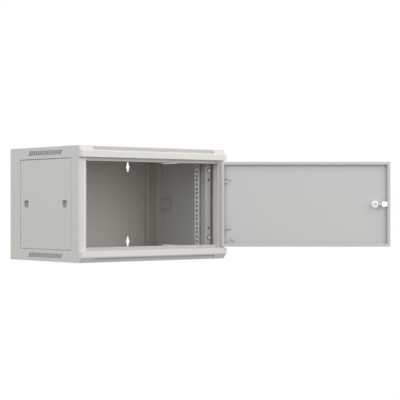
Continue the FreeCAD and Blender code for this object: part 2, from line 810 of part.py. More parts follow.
def rail_bracket(name, side, level):
    """Angle that hangs the rack rail from the depth rail: a tapped hole behind the rail's flange, a
    square bolt hole under the depth rail."""
    body = new_body(name)
    low_x, high_x = span(side, RACK_X + " + rack_face + bracket_gap",
                         RACK_X + " + rack_face + bracket_gap + bracket_width")
    wall = "rail_sheet"
    path = [
        (BRACKET_Y, DEPTH_Z + " - bracket_drop"),
        (BRACKET_Y, DEPTH_Z),
        (BRACKET_Y + " + bracket_leg", DEPTH_Z),
        (BRACKET_Y + " + bracket_leg", DEPTH_Z + " - " + wall),
        (BRACKET_Y + " + " + wall, DEPTH_Z + " - " + wall),
        (BRACKET_Y + " + " + wall, DEPTH_Z + " - bracket_drop"),
    ]
    pad(body, "YZ", low_x, "bracket_width", polygon([(y, flip(level, z)) for y, z in path]))
    pocket(body, "XZ", "-%s - %s" % (BRACKET_Y, wall), wall,
           circle((flip(side, RACK_SCREW_X), flip(level, RAIL_SCREW_Z)), "screw_radius + thread_gap"))
    low_z, high_z = span(level, DEPTH_Z + " - " + wall, DEPTH_Z)
    half = "(screw_radius + thread_gap)"
    low_x, high_x = span(side, DEPTH_X + " - " + half, DEPTH_X + " + " + half)
    pocket(body, "XY", low_z, wall, rectangle((low_x, BOLT_Y + " - " + half), (high_x, BOLT_Y + " + " + half)))
    return body


def rail_screws():
    """M6 screws through the rack rails' flanges into the brackets."""
    return group([
        screw((flip(side, RACK_SCREW_X), FLANGE_Y, flip(level, RAIL_SCREW_Z)), "+Y",
              "screw_radius", "screw_length", "screw_flats", "screw_head_height")
        for side in (1, -1) for level in (1, -1)])


def bracket_bolts():
    """M6 screws up and down through the brackets into the depth rails' slots."""
    return group([
        screw((flip(side, DEPTH_X), BOLT_Y, flip(level, "(%s - rail_sheet)" % DEPTH_Z)),
              "+Z" if level > 0 else "-Z", "screw_radius", "screw_length", "screw_flats", "screw_head_height")
        for side in (1, -1) for level in (1, -1)])


# ---------------------------------------------------------------- earth studs
def earth_stud(seat, towards):
    """Stud welded to the sheet."""
    return group([rod(seat, towards, "stud_radius", "stud_length")])


def earth_nut(seat, towards):
    return nut(seat, towards, "nut_flats", "nut_height", "stud_radius + thread_gap")


# ---------------------------------------------------------------- side panels and latches
def cup_outline(side_end):
    """Finger cup of a latch in the YZ plane: flat top, corners cut off below."""
    near, far = "cup_inset", "(cup_inset + cup_length)"
    if side_end == "front":
        y = {"near": "(-%s + %s)" % (PANEL_FRONT, near), "far": "(-%s + %s)" % (PANEL_FRONT, far)}
    else:
        y = {"near": "(-%s - %s)" % (PANEL_REAR, near), "far": "(-%s - %s)" % (PANEL_REAR, far)}
    inward = 1 if side_end == "front" else -1
    shave = "cup_height / 8"
    low, high = "-cup_height / 2", "cup_height / 2"

    def step(edge, share):
        return "%s + (%d) * %s * %s" % (y[edge], inward if edge == "near" else -inward, share, shave)

    return polygon([
        (y["near"], high),
        (y["near"], "%s + 3 * %s" % (low, shave)),
        (step("near", 1), "%s + %s" % (low, shave)),
        (step("near", 3), low),
        (step("far", 3), low),
        (step("far", 1), "%s + %s" % (low, shave)),
        (y["far"], "%s + 3 * %s" % (low, shave)),
        (y["far"], high),
    ])


def side_panel(name, side):
    """Shallow tray that fills the side opening, with two latch cups, a pressed bead and a dimple."""
    body = new_body(name)
    low_x, high_x = span(side, INNER_X, HALF_WIDTH)
    front, rear = "-" + PANEL_FRONT, "-" + PANEL_REAR
    pad(body, "YZ", low_x, "panel_sheet", rectangle((front, "-" + PANEL_Z), (rear, PANEL_Z)))
    low_x, high_x = span(side, "%s - side_return" % HALF_WIDTH, INNER_X)
    pad(body, "YZ", low_x, "side_return - panel_sheet",
        rectangle((front, "-" + PANEL_Z), (rear, PANEL_Z)),
        rectangle((front + " + panel_sheet", "-%s + panel_sheet" % PANEL_Z),
                  (rear + " - panel_sheet", PANEL_Z + " - panel_sheet")))
    low_x, high_x = span(side, INNER_X, HALF_WIDTH)
    pocket(body, "YZ", low_x, "panel_sheet", cup_outline("front"), cup_outline("rear"))
    window = bolt_window(side)
    pocket(body, "XZ", PANEL_REAR, "panel_sheet", window)
    pocket(body, "XZ", PANEL_FRONT + " - panel_sheet", "panel_sheet", window)
    low_x, high_x = span(side, HALF_WIDTH + " - bead_depth", HALF_WIDTH)
    pocket(body, "YZ", low_x, "bead_depth",
           rectangle(("-%s + bead_inset" % SIDE_FRONT, "-" + PANEL_Z),
                     ("-%s + bead_inset + bead_width" % SIDE_FRONT, PANEL_Z)))
    middle = ("-(%s + side_rear) / 2" % SIDE_FRONT, "-%s + dimple_inset" % SIDE_OPEN_Z)
    pocket(body, "YZ", low_x, "bead_depth", circle(middle, "dimple_radius"))
    return body


def latch_ends(side_end):
    """Where a latch lies along Y: the panel's inner edge, and which way the panel's middle is."""
    if side_end == "front":
        return "(-%s + panel_sheet)" % PANEL_FRONT, 1
    return "(-%s - panel_sheet)" % PANEL_REAR, -1


SLIDE_OUT_X = "(%s - cup_depth - slide_gap)" % INNER_X
SLIDE_IN_X = "(%s - cup_depth - slide_gap - slide_thickness)" % INNER_X


def along(start, way, distance):
    return "%s + (%d) * (%s)" % (start, way, distance)


def rising(a, b, way):
    return (a, b) if way > 0 else (b, a)


def latch_housing(name, side, side_end):
    """Moulded cup behind the panel, with the tunnel that the latch slide runs in below its floor."""
    edge, way = latch_ends(side_end)
    body = new_body(name)
    low_x, high_x = span(side, INNER_X + " - latch_depth", INNER_X)
    ends = rising(edge, along(edge, way, "latch_length"), way)
    pad(body, "YZ", low_x, "latch_depth",
        rectangle((ends[0], "-latch_height / 2"), (ends[1], "latch_height / 2")))
    low_x, high_x = span(side, INNER_X + " - cup_depth - latch_wall", INNER_X)
    ends = rising(along(edge, way, "latch_length"),
                  along(edge, way, "cup_inset + cup_length + latch_wall - panel_sheet"), way)
    pad(body, "YZ", low_x, "cup_depth + latch_wall",
        rectangle((ends[0], "-latch_height / 2"), (ends[1], "latch_height / 2")))
    low_x, high_x = span(side, INNER_X + " - cup_depth", INNER_X)
    pocket(body, "YZ", low_x, "cup_depth", cup_outline(side_end))
    tunnel_in = "(%s - slide_gap)" % SLIDE_IN_X
    low_x, high_x = span(side, tunnel_in, INNER_X + " - cup_depth")
    tunnel = rising(edge, along(edge, way, "latch_length - latch_wall"), way)
    pocket(body, "YZ", low_x, "(%s) - (%s)" % (high_x, low_x),
           rectangle((tunnel[0], "-slide_width / 2 - slide_gap"), (tunnel[1], "slide_width / 2 + slide_gap")))
    return body


def latch_slide(name, side, side_end):
    """Sprung slide with a finger tab in the cup and a bolt that passes through panel and jamb."""
    edge, way = latch_ends(side_end)
    low_x, high_x = span(side, SLIDE_IN_X, SLIDE_OUT_X)
    tip = along(edge, way, "-panel_sheet - side_gap - bolt_reach")
    tail = along(edge, way, "latch_length - latch_wall - slide_travel - 2 * slide_gap")
    ends = rising(tip, tail, way)
    bar = block((low_x, ends[0], "-slide_width / 2"), (high_x, ends[1], "slide_width / 2"))
    low_x, high_x = span(side, SLIDE_OUT_X, SLIDE_OUT_X + " + tab_height")
    near = along(edge, way, "cup_inset - panel_sheet + 2 * slide_gap + cup_length / 4")
    ends = rising(near, near + " + (%d) * tab_thickness" % way, way)
    tab = block((low_x, ends[0], "-slide_width / 2 + 1"), (high_x, ends[1], "slide_width / 2 - 1"))
    return joined([bar, tab])


# ---------------------------------------------------------------- door
def hang_open(piece):
    """Turns a piece made in the closed position to the door's rest angle about the hinge axis."""
    turn = "door_rest_angle"
    piece.Placement.Rotation = FreeCAD.Rotation(FreeCAD.Vector(0, 0, 1), 1)
    piece.setExpression("Placement.Rotation.Angle", bound(turn))
    piece.setExpression("Placement.Base.x",
                        bound("{0} * (1 - cos({2})) + {1} * sin({2})".format(HINGE_X, HINGE_Y, turn)))
    piece.setExpression("Placement.Base.y",
                        bound("{1} * (1 - cos({2})) - {0} * sin({2})".format(HINGE_X, HINGE_Y, turn)))
    return piece


def door_shell():
    """Steel tray: outer sheet, returns on four sides and a lip folded back in."""
    body = new_body("door_shell")
    half_w, half_h = DOOR_X, DOOR_Z
    back = "body_depth + door_gap"
    pad(body, "XZ", back, "door_depth", rectangle(("-" + half_w, "-" + half_h), (half_w, half_h)))
    front = number(DOOR_FRONT_Y) + 0.01
    round_edges(body, "door_bend", lambda edge: edge.BoundBox.YMax < front)
    pocket(body, "XZ", back + " + door_sheet", "door_depth - 2 * door_sheet",
           rectangle(("-%s + door_sheet" % half_w, "-%s + door_sheet" % half_h),
                     (half_w + " - door_sheet", half_h + " - door_sheet")))
    pocket(body, "XZ", back, "door_sheet",
           rectangle(("-%s + door_lip" % half_w, "-%s + door_lip" % half_h),
                     (half_w + " - door_lip", half_h + " - door_lip")))
    pocket(body, "XZ", "-" + DOOR_IN_Y, "door_sheet", circle((LOCK_X, "0"), "barrel_radius + barrel_gap"))
    for level in (1, -1):
        low_z, high_z = span(level, half_h + " - door_sheet", half_h)
        pocket(body, "XY", low_z, "door_sheet", circle((HINGE_X, HINGE_Y), "pin_radius + pin_guide_gap"))
    return hang_open(body)


def hinge_guide(name, level):
    """Bracket spot-welded inside the door: a foot, and two ears that guide the hinge pin."""
    right = "(%s - door_sheet)" % DOOR_X
    left = "(%s - guide_length)" % HINGE_X
    low, high = span(level, DOOR_Z + " - guide_inset - guide_height", DOOR_Z + " - guide_inset")
    front, back = DOOR_IN_Y, "(%s + guide_reach)" % DOOR_IN_Y
    ear_low, ear_high = "%s + door_sheet" % low, "%s - door_sheet" % high
    bracket = block((left, front, low), (right, back, high))
    mouth = block((left, "%s + door_sheet" % front, ear_low), (right, back, ear_high))
    foot_end = block(("%s - guide_foot_gap" % HINGE_X, front, ear_low), (right, back, ear_high))
    bore = rod((HINGE_X, HINGE_Y, low), "+Z", "pin_radius + pin_guide_gap", "(%s) - (%s)" % (high, low))
    return hang_open(keep(without(bracket, [mouth, foot_end, bore]), name))


def hinge_pin(name, level):
    """Pin bent into a handle, its end standing in the beam."""
    end = "(%s + pin_reach)" % BEAM_Z
    tail = flip(level, DOOR_Z + " - pin_tail_inset")
    towards = "+Z" if level > 0 else "-Z"
    shaft = rod((HINGE_X, HINGE_Y, tail), towards, "pin_radius", "%s - %s + pin_tail_inset" % (end, DOOR_Z))
    handle = rod((HINGE_X, HINGE_Y, flip(level, DOOR_Z + " - pin_handle_inset")), "-X",
                 "pin_radius", "pin_handle_length")
    return hang_open(keep(joined([shaft, handle]), name))


# ---------------------------------------------------------------- cam lock, closed position
CAM_BACK_Y = "(%s + cam_thickness)" % CAM_Y
BARREL_END_Y = "(%s - slide_gap)" % CAM_Y


def lock_barrel():
    """Threaded barrel with its outer flange, bored for the plug."""
    flange_y = "(%s - barrel_flange_height)" % DOOR_FRONT_Y
    whole = joined([
        rod((LOCK_X, DOOR_FRONT_Y, "0"), "-Y", "barrel_flange", "barrel_flange_height"),
        rod((LOCK_X, DOOR_FRONT_Y, "0"), "+Y", "barrel_radius", "%s - %s" % (BARREL_END_Y, DOOR_FRONT_Y)),
    ])
    bore = rod((LOCK_X, flange_y, "0"), "+Y", "plug_radius + plug_gap", "%s - %s" % (BARREL_END_Y, flange_y))
    return hang_open(keep(without(whole, [bore]), "lock_barrel"))


def lock_nut():
    return hang_open(keep(nut((LOCK_X, DOOR_IN_Y, "0"), "+Y", "lock_nut_flats", "lock_nut_height",
                              "barrel_radius + thread_gap"), "lock_nut"))


def lock_plug():
    """Plug that the key turns: keyway in front, square end that drives the cam."""
    face_y = "(%s - barrel_flange_height - plug_proud)" % DOOR_FRONT_Y
    round_part = rod((LOCK_X, face_y, "0"), "+Y", "plug_radius", "%s - %s" % (BARREL_END_Y, face_y))
    half = "plug_square / 2"
    square = block((LOCK_X + " - " + half, BARREL_END_Y, "-" + half), (LOCK_X + " + " + half, CAM_BACK_Y, half))
    keyway = block((LOCK_X + " - key_slot_width / 2", face_y, "-key_slot_height / 2"),
                   (LOCK_X + " + key_slot_width / 2", face_y + " + key_slot_depth", "key_slot_height / 2"))
    return hang_open(keep(without(joined([round_part, square]), [keyway]), "lock_plug"))


def lock_cam():
    """Pressed cam: round base on the plug's square, narrow neck, broad end that turns behind the post."""
    body = new_body("lock_cam")
    offset = "-" + CAM_BACK_Y

    def arm(start, reach, width):
        return rectangle((LOCK_X + " - " + reach, "-%s / 2" % width), (LOCK_X + " - " + start, "%s / 2" % width))

    pad(body, "XZ", offset, "cam_thickness", circle((LOCK_X, "0"), "cam_base"))
    pad(body, "XZ", offset, "cam_thickness", arm("0", "cam_neck_end", "cam_neck_width"))
    pad(body, "XZ", offset, "cam_thickness", arm("cam_neck_end", "cam_reach", "cam_end_width"))
    half = "(plug_square / 2 + square_gap)"
    pocket(body, "XZ", offset, "cam_thickness",
           rectangle((LOCK_X + " - " + half, "-" + half), (LOCK_X + " + " + half, half)))
    return hang_open(keep(body, "lock_cam"))


def lock_cam_screw():
    head = hexagon((LOCK_X, CAM_BACK_Y, "0"), "+Y", "cam_screw_flats", "cam_screw_height")
    return hang_open(keep(group([head]), "lock_cam_screw"))


# ---------------------------------------------------------------- assembly
SIDES = (("left", -1), ("right", 1))
LEVELS = (("upper", 1), ("lower", -1))

keep(rear_panel(), "rear_panel")
keep(roof_panel(), "roof_panel")
keep(roof_or_floor("floor_panel", -1), "floor_panel")
for word, side in SIDES:
    keep(side_frame(word + "_side_frame", side), word + "_side_frame")
    keep(front_post(word + "_front_post", side, side < 0), word + "_front_post")
    keep(rear_post(word + "_rear_post", side), word + "_rear_post")
    keep(rack_rail(word + "_rack_rail", side), word + "_rack_rail")
    for height, level in LEVELS:
        name = "%s_%s_depth_rail" % (height, word)
        keep(depth_rail(name, side, level), name)
        name = "%s_%s_rail_bracket" % (height, word)
        keep(rail_bracket(name, side, level), name)
    keep(side_panel(word + "_side_panel", side), word + "_side_panel")
    for end in ("front", "rear"):
        name = "%s_%s_latch_housing" % (word, end)
        keep(latch_housing(name, side, end), name)
        name = "%s_%s_latch_slide" % (word, end)
        keep(latch_slide(name, side, end), name)
for height, level in LEVELS:
    keep(front_header(height + "_front_header", level), height + "_front_header")
    keep(front_beam(height + "_front_beam", level), height + "_front_beam")
keep(rail_screws(), "rail_screws")
keep(bracket_bolts(), "bracket_bolts")

EARTH_SEAT = ("-%s + earth_side_inset" % HALF_WIDTH, "-earth_back", "-" + INNER_Z)
keep(earth_stud(EARTH_SEAT, "+Z"), "earth_stud")
keep(earth_nut(EARTH_SEAT, "+Z"), "earth_nut")

keep(door_shell(), "door_shell")
for height, level in LEVELS:
    hinge_guide(height + "_hinge_guide", level)
    hinge_pin(height + "_hinge_pin", level)
DOOR_EARTH_SEAT = (DOOR_X + " - door_earth_inset", DOOR_IN_Y, "-%s + door_earth_end_inset" % DOOR_Z)
hang_open(keep(earth_stud(DOOR_EARTH_SEAT, "+Y"), "door_earth_stud"))
hang_open(keep(earth_nut(DOOR_EARTH_SEAT, "+Y"), "door_earth_nut"))
lock_barrel()
lock_nut()
lock_plug()
lock_cam()
lock_cam_screw()

doc.recompute()

# ---------------------------------------------------------------- checks, then one STEP file per piece
for thing in doc.Objects:
    if "Invalid" in thing.State or "Error" in thing.State:
        raise RuntimeError("%s failed to build: %s" % (thing.Label, thing.State))
for piece in kept:
    if piece.Shape.isNull() or not piece.Shape.isValid() or not piece.Shape.Solids:
        raise RuntimeError("%s has no valid solid" % piece.Label)
for piece in kept:
    piece.Shape.exportStep(os.path.join("parts", piece.Label + ".step"))
print("%d pieces written" % len(kept))
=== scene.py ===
import math

import bpy
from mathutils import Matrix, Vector


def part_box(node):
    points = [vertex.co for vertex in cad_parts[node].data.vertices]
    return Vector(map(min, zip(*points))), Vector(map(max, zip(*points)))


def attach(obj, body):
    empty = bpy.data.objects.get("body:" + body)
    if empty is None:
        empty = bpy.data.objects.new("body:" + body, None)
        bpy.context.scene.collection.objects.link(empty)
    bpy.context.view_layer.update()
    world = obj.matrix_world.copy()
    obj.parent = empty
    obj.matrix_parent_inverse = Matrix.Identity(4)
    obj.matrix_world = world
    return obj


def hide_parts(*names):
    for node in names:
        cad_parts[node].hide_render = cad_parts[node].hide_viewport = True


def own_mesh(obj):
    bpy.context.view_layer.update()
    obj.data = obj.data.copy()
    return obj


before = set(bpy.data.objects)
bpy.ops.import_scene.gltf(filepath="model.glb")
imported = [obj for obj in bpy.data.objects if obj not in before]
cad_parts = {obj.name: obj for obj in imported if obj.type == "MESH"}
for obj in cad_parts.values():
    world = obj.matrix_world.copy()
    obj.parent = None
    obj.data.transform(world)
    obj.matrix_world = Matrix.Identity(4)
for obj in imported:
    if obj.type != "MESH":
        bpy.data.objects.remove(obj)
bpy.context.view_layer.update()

# ---------------------------------------------------------------- the room
# The floor, well below the hung cabinet, and the surround both look plain white. Warm daylight comes from
# all round, and the floor throws back as much as mid grey paint would. Three weak soft boxes help: cool ones
# at the left and in front, and a warmer one, lower down, at the right.
ROOM_WHITE = (1.0, 1.0, 1.0, 1.0)
DAYLIGHT = (0.99, 0.975, 0.95, 1.0)
DAYLIGHT_STRENGTH = 0.95
FLOOR_GREY = (0.3, 0.3, 0.3, 1.0)
FLOOR_LEVEL = -0.62
FLOOR_SIDE = 14.0
LAMP_TARGET = (0.0, -0.3, 0.0)


def seen_directly(tree):
    """1 for rays that look at a surface straight, in gloss or through glass, and 0 for its light."""
    path = tree.nodes.new("ShaderNodeLightPath")
    first = tree.nodes.new("ShaderNodeMath")
    first.operation = "MAXIMUM"
    second = tree.nodes.new("ShaderNodeMath")
    second.operation = "MAXIMUM"
    tree.links.new(path.outputs["Is Camera Ray"], first.inputs[0])
    tree.links.new(path.outputs["Is Glossy Ray"], first.inputs[1])
    tree.links.new(first.outputs[0], second.inputs[0])
    tree.links.new(path.outputs["Is Transmission Ray"], second.inputs[1])
    return second.outputs[0]


def show_white(tree, lighting, white, end):
    """Lights the part by one shader, and shows plain white in its place to whoever looks."""
    white.inputs["Color"].default_value = ROOM_WHITE
    white.inputs["Strength"].default_value = 1.0
    choice = tree.nodes.new("ShaderNodeMixShader")
    tree.links.new(seen_directly(tree), choice.inputs["Fac"])
    tree.links.new(lighting.outputs[0], choice.inputs[1])
    tree.links.new(white.outputs[0], choice.inputs[2])
    tree.links.new(choice.outputs[0], end.inputs["Surface"])


def soft_lamp(name, place, size, power, colour):
    """A square soft box that looks at the open front."""
    light = bpy.data.lights.new(name, "AREA")
    light.shape = "SQUARE"
    light.size = size
    light.energy = power
    light.color = colour
    lamp = bpy.data.objects.new(name, light)
    lamp.location = place
    lamp.rotation_euler = (Vector(LAMP_TARGET) - Vector(place)).to_track_quat("-Z", "Y").to_euler()
    bpy.context.scene.collection.objects.link(lamp)


world = bpy.data.worlds.new("plain_daylight")
bpy.context.scene.world = world
world.use_nodes = True
sky = world.node_tree
sky.nodes.clear()
daylight = sky.nodes.new("ShaderNodeBackground")
daylight.inputs["Color"].default_value = DAYLIGHT
daylight.inputs["Strength"].default_value = DAYLIGHT_STRENGTH
surround = sky.nodes.new("ShaderNodeBackground")
show_white(sky, daylight, surround, sky.nodes.new("ShaderNodeOutputWorld"))

bpy.ops.mesh.primitive_plane_add(size=FLOOR_SIDE, location=(0, 0, FLOOR_LEVEL))
floor = bpy.context.object
floor.name = "room_floor"
floor_paint = bpy.data.materials.new("pale_floor")
floor_paint.use_nodes = True
ground = floor_paint.node_tree
ground.nodes.clear()
matt = ground.nodes.new("ShaderNodeBsdfDiffuse")
matt.inputs["Color"].default_value = FLOOR_GREY
glow = ground.nodes.new("ShaderNodeEmission")
show_white(ground, matt, glow, ground.nodes.new("ShaderNodeOutputMaterial"))
floor.data.materials.append(floor_paint)

soft_lamp("left_soft_box", place=(-3.2, -1.6, 1.4), size=2.0, power=27, colour=(0.80, 0.89, 1.0))
soft_lamp("front_soft_box", place=(0.4, -3.4, 1.0), size=2.0, power=23, colour=(0.90, 0.95, 1.0))
soft_lamp("right_soft_box", place=(3.2, -2.8, 0.4), size=1.6, power=26, colour=(1.0, 0.94, 0.90))

# ---------------------------------------------------------------- the camera
# It looks at the open cabinet from the front left, level with its middle.
CAMERA_PLACE = (-2.6991, -3.8898, -0.0042)
CAMERA_AZIMUTH = math.radians(39.68)
CAMERA_RISE = math.radians(0.23)
LENS = 121.19
SENSOR = 36.0
SIGHT = 60.0

camera_data = bpy.data.cameras.new("studio_camera")
camera_data.lens = LENS
camera_data.sensor_width = SENSOR
camera_data.clip_end = SIGHT
camera = bpy.data.objects.new("studio_camera", camera_data)
camera.location = CAMERA_PLACE
camera.rotation_euler = (math.pi / 2 + CAMERA_RISE, 0.0, -CAMERA_AZIMUTH)
bpy.context.scene.collection.objects.link(camera)
bpy.context.scene.camera = camera
bpy.context.scene.view_settings.view_transform = "Standard"

# ---------------------------------------------------------------- welded body
# Folded sheet steel, spot-welded at the corners: rear panel, roof, floor, side frames, posts, headers.
# It is powder-coated in pale grey with a fine even grain, a touch warmer on the shell than on its sides.
# The front posts take a lighter, warmer copy of the coat, which paints in light on the front frame;
# the headers, tucked behind the beams, a darker, rougher copy, which paints in the shade there.
PAINT = (0.638, 0.605, 0.556, 1.0)
COVER_PAINT = (0.628, 0.61, 0.58, 1.0)
SIDE_PAINT = (0.617, 0.609, 0.594, 1.0)
# The front frame's coat is lighter than the body's: painted light on the posts and beams.
LIT_FRAME_PAINT = (0.70, 0.677, 0.65, 1.0)
# This darker coat is painted shade: behind the beams, in their recesses, and on the channels inside.
SHADED_PAINT = (0.50, 0.49, 0.485, 1.0)
COAT_IOR = 1.45
GRAIN_SCALE = 900.0
GRAIN_DEPTH = 0.0004
CLOUD_SCALE = 7.0
TONE_SPREAD = 0.015
GLOSS_SPREAD = 0.04

FOLD_RADIUS = 0.0013
POST_RADIUS = 0.0010
CUT_EDGE = 0.00025
ROUND_STEPS = 3
ROUND_SHARE = 0.88
NARROW_STRIP = 0.004
SAME_PLACE = 0.00001
SAME_FLAT = math.radians(1.0)
LEAST_FOLD = math.radians(28)
LEAST_CREASE = math.radians(32)
NEAR_TURN = math.radians(35)
WIDE_SHARE = 0.3
LEAST_LEAN = 0.1
NEXT_TO_NOTHING = 1e-18

BODY_SHEETS = [
    "rear_panel", "roof_panel", "floor_panel",
    "left_side_frame", "right_side_frame",
    "left_front_post", "right_front_post", "left_rear_post", "right_rear_post",
    "upper_front_header", "lower_front_header",
]


def start_finish(name):
    """A fresh finish: the material, its nodes and its shader."""
    finish = bpy.data.materials.new(name)
    finish.use_nodes = True
    return finish, finish.node_tree, finish.node_tree.nodes["Principled BSDF"]


def patches(tree, scale, detail):
    """Soft random patches that stay with the piece."""
    place = tree.nodes.new("ShaderNodeTexCoord")
    noise = tree.nodes.new("ShaderNodeTexNoise")
    noise.inputs["Scale"].default_value = scale
    noise.inputs["Detail"].default_value = detail
    tree.links.new(place.outputs["Object"], noise.inputs["Vector"])
    return noise.outputs["Fac"]


def shade_of(colour, factor):
    """The same colour, darker or lighter."""
    return tuple(min(1.0, c * factor) for c in colour[:3]) + (1.0,)


def vary_tone(tree, shader, pattern, dark, light):
    """Lets the colour wander between two shades."""
    tone = tree.nodes.new("ShaderNodeMix")
    tone.data_type = "RGBA"
    tone.inputs["A"].default_value = dark
    tone.inputs["B"].default_value = light
    tree.links.new(pattern, tone.inputs["Factor"])
    tree.links.new(tone.outputs["Result"], shader.inputs["Base Color"])


def vary_gloss(tree, shader, pattern, roughness, spread):
    """Lets the roughness wander a little to both sides."""
    gloss = tree.nodes.new("ShaderNodeMapRange")
    gloss.inputs["To Min"].default_value = roughness - spread
    gloss.inputs["To Max"].default_value = roughness + spread
    tree.links.new(pattern, gloss.inputs["Value"])
    tree.links.new(gloss.outputs["Result"], shader.inputs["Roughness"])


def raise_grain(tree, shader, pattern, strength, depth):
    """Gives the skin its bumps."""
    bump = tree.nodes.new("ShaderNodeBump")
    bump.inputs["Strength"].default_value = strength
    bump.inputs["Distance"].default_value = depth
    tree.links.new(pattern, bump.inputs["Height"])
    tree.links.new(bump.outputs["Normal"], shader.inputs["Normal"])


def powder_coat(name, colour, grain=0.04, roughness=0.46):
    """Powder coat: a fine bumpy skin, slightly uneven in tone and gloss."""
    coat, tree, shader = start_finish(name)
    shader.inputs["IOR"].default_value = COAT_IOR
    raise_grain(tree, shader, patches(tree, GRAIN_SCALE, detail=2.0), grain, GRAIN_DEPTH)
    cloud = patches(tree, CLOUD_SCALE, detail=3.0)
    vary_tone(tree, shader, cloud, shade_of(colour, 1 - TONE_SPREAD), shade_of(colour, 1 + TONE_SPREAD))
    vary_gloss(tree, shader, cloud, roughness, GLOSS_SPREAD)
    return coat


def pick(piece):
    """Selects one piece alone and makes it the active one."""
    bpy.ops.object.select_all(action="DESELECT")
    piece.hide_set(False)
    piece.select_set(True)
    bpy.context.view_layer.objects.active = piece


def reach_from(edge, face, points):
    """How far a face spreads sideways from one of its edges."""
    start, end = (points[i] for i in edge)
    along = (end - start).normalized()
    spread = 0.0
    for index in face.vertices:
        arm = points[index] - start
        spread = max(spread, (arm - along * arm.dot(along)).length)
    return spread


def stretch_gap(point, start, end):
    """Distance from a point to a straight edge between two others."""
    along = end - start
    share = (point - start).dot(along) / max(along.dot(along), NEXT_TO_NOTHING)
    return (start + along * min(1.0, max(0.0, share)) - point).length


def room_beside(edge, rims, points, sizes):
    """The rounding that an edge can take before it runs into that of another edge of the same flat.
    Edges that share a corner with it, lie beyond its ends or are out of reach don't count."""
    start, end = points[edge[0]], points[edge[1]]
    along = (end - start).normalized()
    room = sizes[edge]
    for other in rims:
        if other[0] in edge or other[1] in edge:
            continue
        first, last = points[other[0]], points[other[1]]
        reach = (sizes[edge] + sizes[other]) / ROUND_SHARE
        if any(max(first[i], last[i]) < min(start[i], end[i]) - reach
               or min(first[i], last[i]) > max(start[i], end[i]) + reach for i in range(3)):
            continue
        span = sorted(((first - start).dot(along), (last - start).dot(along)))
        if span[1] < SAME_PLACE or span[0] > (end - start).length - SAME_PLACE:
            continue
        gap = min(stretch_gap(first, start, end), stretch_gap(last, start, end),
                  stretch_gap(start, first, last), stretch_gap(end, first, last))
        room = min(room, gap * sizes[edge] / reach)
    return room


def weigh_edges(mesh, radius, cut):
    """Marks each outward fold for its radius and each other edge for a slight one; flat joins stay unmarked.
    Both get less where there is no room: folds within their whole flat, cut edges within their own faces."""
    points = [v.co.copy() for v in mesh.vertices]
    sides = {}
    for face in mesh.polygons:
        for key in face.edge_keys:
            sides.setdefault(key, []).append(face)
    flat_of = list(range(len(mesh.polygons)))

    def root(index):
        while flat_of[index] != index:
            index = flat_of[index]
        return index

    sizes = {}
    for key, faces in sides.items():
        if len(faces) != 2:
            continue
        if faces[0].normal.angle(faces[1].normal, 0.0) < LEAST_FOLD:
            flat_of[root(faces[0].index)] = root(faces[1].index)
        else:
            outward = (faces[1].center - faces[0].center).dot(faces[0].normal) < 0
            fold = outward and min(reach_from(key, face, points) for face in faces) > NARROW_STRIP
            sizes[key] = radius if fold else cut
    rims = {}
    for key in sizes:
        for face in sides[key]:
            rims.setdefault(root(face.index), []).append(key)
    marks = mesh.attributes.new("bevel_weight_edge", "FLOAT", "EDGE")
    for edge in mesh.edges:
        key = tuple(sorted(edge.vertices))
        if key in sizes:
            size = min(room_beside(key, rims[root(face.index)] if sizes[key] > cut else
                                   [rim for rim in face.edge_keys if rim in sizes], points, sizes)
                       for face in sides[key])
            marks.data[edge.index].value = size / radius


def keep_flats_flat(mesh):
    """Shades flat faces flat up to their rounded edges: each corner follows the widest faces beside it."""
    meeting = [[] for _ in mesh.vertices]
    for face in mesh.polygons:
        for vertex in face.vertices:
            meeting[vertex].append((face.normal.copy(), face.area))
    normals = []
    for face in mesh.polygons:
        for vertex in face.vertices:
            near = [(n, area) for n, area in meeting[vertex] if n.dot(face.normal) > math.cos(NEAR_TURN)]
            widest = max([area for _, area in near], default=0.0)
            lean = face.normal * 0.0
            for n, area in near:
                if area >= WIDE_SHARE * widest:
                    lean += n
            normals.append((lean if lean.length > LEAST_LEAN else face.normal).normalized())
    mesh.normals_split_custom_set(normals)


def ease_edges(piece, radius, cut):
    """Rounds the folds of a piece to a radius and takes the sharpness off its cut edges."""
    pick(piece)
    weigh_edges(piece.data, radius, cut)
    round_over = piece.modifiers.new("round_over", "BEVEL")
    round_over.limit_method = "WEIGHT"
    round_over.width = radius
    round_over.segments = ROUND_STEPS
    round_over.use_clamp_overlap = False
    bpy.ops.object.modifier_apply(modifier="round_over")
    bpy.ops.object.shade_smooth_by_angle(angle=LEAST_CREASE)
    keep_flats_flat(piece.data)


def sheet_from(node, name, body, material, radius=FOLD_RADIUS, cut=CUT_EDGE):
    """The finished piece: the CAD piece's faces made whole and its edges eased; it stands for that piece."""
    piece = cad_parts[node].copy()
    piece.data = piece.data.copy()
    piece.name = name
    piece.parent = None
    for word in list(piece.keys()):
        del piece[word]
    bpy.context.scene.collection.objects.link(piece)
    pick(piece)
    bpy.ops.object.mode_set(mode="EDIT")
    bpy.ops.mesh.select_all(action="SELECT")
    bpy.ops.mesh.remove_doubles(threshold=SAME_PLACE)
    bpy.ops.mesh.dissolve_limited(angle_limit=SAME_FLAT)
    bpy.ops.object.mode_set(mode="OBJECT")
    ease_edges(piece, radius, cut)
    piece.data.materials.clear()
    piece.data.materials.append(material)
    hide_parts(node)
    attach(piece, body)
    return piece


